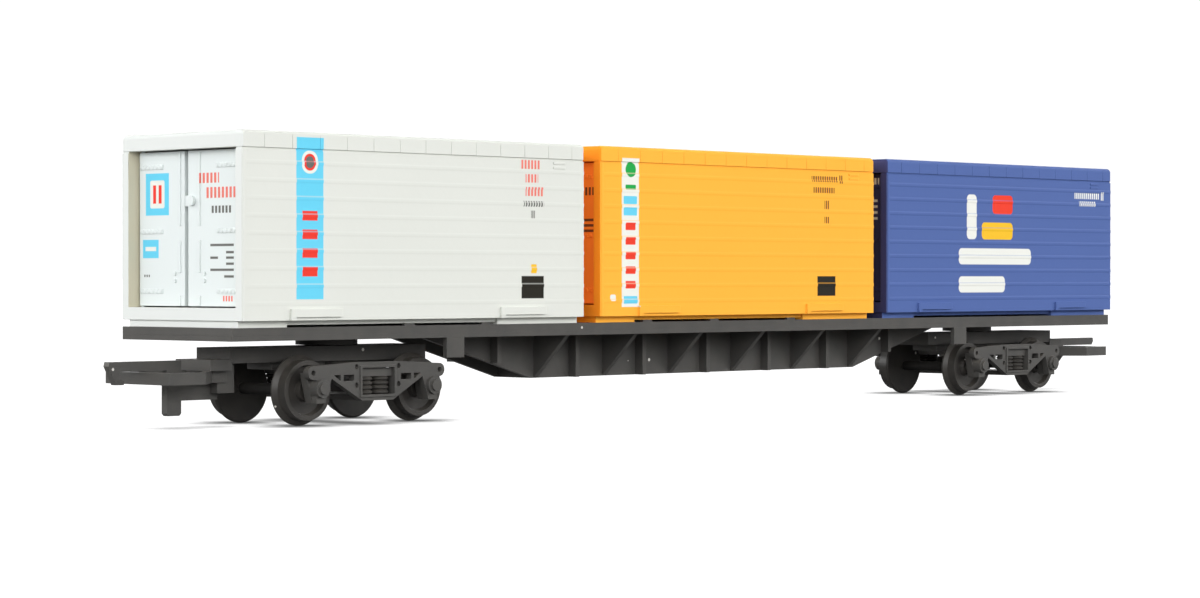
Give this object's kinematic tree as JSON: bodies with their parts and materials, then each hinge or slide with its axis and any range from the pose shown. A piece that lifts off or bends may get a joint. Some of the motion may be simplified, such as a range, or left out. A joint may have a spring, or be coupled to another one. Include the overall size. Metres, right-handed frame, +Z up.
{
  "type": "model bogie container flat wagon",
  "caption": "Small-scale model flat wagon on two swivelling bogies, carrying boxy containers in white, orange and blue, with opening end doors.",
  "frame": {"origin": "centre of the wagon's outline on the plane the wheel flanges stand on", "axes": "+X along the wagon, away from the opening doors; +Y across it; +Z up"},
  "size_m": [0.2792, 0.0326, 0.0492],
  "materials": {
    "black_plastic": "satin moulded plastic",
    "wheel_plastic": "satin moulded plastic",
    "white_shell": "satin moulded plastic",
    "orange_shell": "satin moulded plastic",
    "blue_shell": "satin moulded plastic"
  },
  "bodies": {
    "flat": {"blue_container_plinth": "blue_shell", "blue_container_roof": "blue_shell", "blue_container_shell": "blue_shell", "centre_sill": "black_plastic", "deck": "black_plastic", "orange_container_plinth": "orange_shell", "orange_container_roof": "orange_shell", "orange_container_shell": "orange_shell", "pivot_1": "black_plastic", "pivot_2": "black_plastic", "web_plates_far": "black_plastic", "web_plates_near": "black_plastic", "white_container_plinth": "white_shell", "white_container_roof": "white_shell", "white_container_shell": "white_shell"},
    "white_door_near": {"white_container_door_near": "white_shell"},
    "white_door_far": {"white_container_door_far": "white_shell"},
    "orange_door_near": {"orange_container_door_near": "orange_shell"},
    "orange_door_far": {"orange_container_door_far": "orange_shell"},
    "blue_door_near": {"blue_container_door_near": "blue_shell"},
    "blue_door_far": {"blue_container_door_far": "blue_shell"},
    "bogie_1": {"bogie_1_frame": "black_plastic", "bogie_1_loop": "black_plastic", "bogie_1_side_far": "black_plastic", "bogie_1_side_near": "black_plastic", "bogie_1_springs_far": "black_plastic", "bogie_1_springs_near": "black_plastic"},
    "hook_1": {"bogie_1_hook": "black_plastic"},
    "wheelset_1_outer": {"wheelset_1_outer": "wheel_plastic"},
    "wheelset_1_inner": {"wheelset_1_inner": "wheel_plastic"},
    "bogie_2": {"bogie_2_frame": "black_plastic", "bogie_2_loop": "black_plastic", "bogie_2_side_far": "black_plastic", "bogie_2_side_near": "black_plastic", "bogie_2_springs_far": "black_plastic", "bogie_2_springs_near": "black_plastic"},
    "hook_2": {"bogie_2_hook": "black_plastic"},
    "wheelset_2_outer": {"wheelset_2_outer": "wheel_plastic"},
    "wheelset_2_inner": {"wheelset_2_inner": "wheel_plastic"}
  },
  "joints": [
    {"name": "white_door_near_swing", "type": "hinge", "parent": "flat", "child": "white_door_near", "pos_m": [-0.1217, -0.01335, 0.032], "axis": [0, 0, 1], "range_deg": [0, 90]},
    {"name": "white_door_far_swing", "type": "hinge", "parent": "flat", "child": "white_door_far", "pos_m": [-0.1217, 0.01335, 0.032], "axis": [0, 0, -1], "range_deg": [0, 90]},
    {"name": "orange_door_near_swing", "type": "hinge", "parent": "flat", "child": "orange_door_near", "pos_m": [-0.0375, -0.01335, 0.032], "axis": [0, 0, 1], "range_deg": [0, 20]},
    {"name": "orange_door_far_swing", "type": "hinge", "parent": "flat", "child": "orange_door_far", "pos_m": [-0.0375, 0.01335, 0.032], "axis": [0, 0, -1], "range_deg": [0, 20]},
    {"name": "blue_door_near_swing", "type": "hinge", "parent": "flat", "child": "blue_door_near", "pos_m": [0.0467, -0.01335, 0.032], "axis": [0, 0, 1], "range_deg": [0, 20]},
    {"name": "blue_door_far_swing", "type": "hinge", "parent": "flat", "child": "blue_door_far", "pos_m": [0.0467, 0.01335, 0.032], "axis": [0, 0, -1], "range_deg": [0, 20]},
    {"name": "hook_1_lift", "type": "hinge", "parent": "bogie_1", "child": "hook_1", "pos_m": [-0.1171, 0, 0.0064], "axis": [0, 1, 0], "range_deg": [0, 12]},
    {"name": "bogie_1_swivel", "type": "hinge", "parent": "flat", "child": "bogie_1", "pos_m": [-0.0924, 0, 0.012], "axis": [0, 0, 1], "range_deg": [-20, 20]},
    {"name": "wheelset_1_outer_spin", "type": "hinge", "parent": "bogie_1", "child": "wheelset_1_outer", "pos_m": [-0.1052, 0, 0.006], "axis": [0, 1, 0], "continuous": true},
    {"name": "wheelset_1_inner_spin", "type": "hinge", "parent": "bogie_1", "child": "wheelset_1_inner", "pos_m": [-0.0796, 0, 0.006], "axis": [0, 1, 0], "continuous": true},
    {"name": "hook_2_lift", "type": "hinge", "parent": "bogie_2", "child": "hook_2", "pos_m": [0.1171, 0, 0.0064], "axis": [0, -1, 0], "range_deg": [0, 12]},
    {"name": "bogie_2_swivel", "type": "hinge", "parent": "flat", "child": "bogie_2", "pos_m": [0.0924, 0, 0.012], "axis": [0, 0, 1], "range_deg": [-20, 20]},
    {"name": "wheelset_2_outer_spin", "type": "hinge", "parent": "bogie_2", "child": "wheelset_2_outer", "pos_m": [0.1052, 0, 0.006], "axis": [0, 1, 0], "continuous": true},
    {"name": "wheelset_2_inner_spin", "type": "hinge", "parent": "bogie_2", "child": "wheelset_2_inner", "pos_m": [0.0796, 0, 0.006], "axis": [0, 1, 0], "continuous": true}
  ]
}
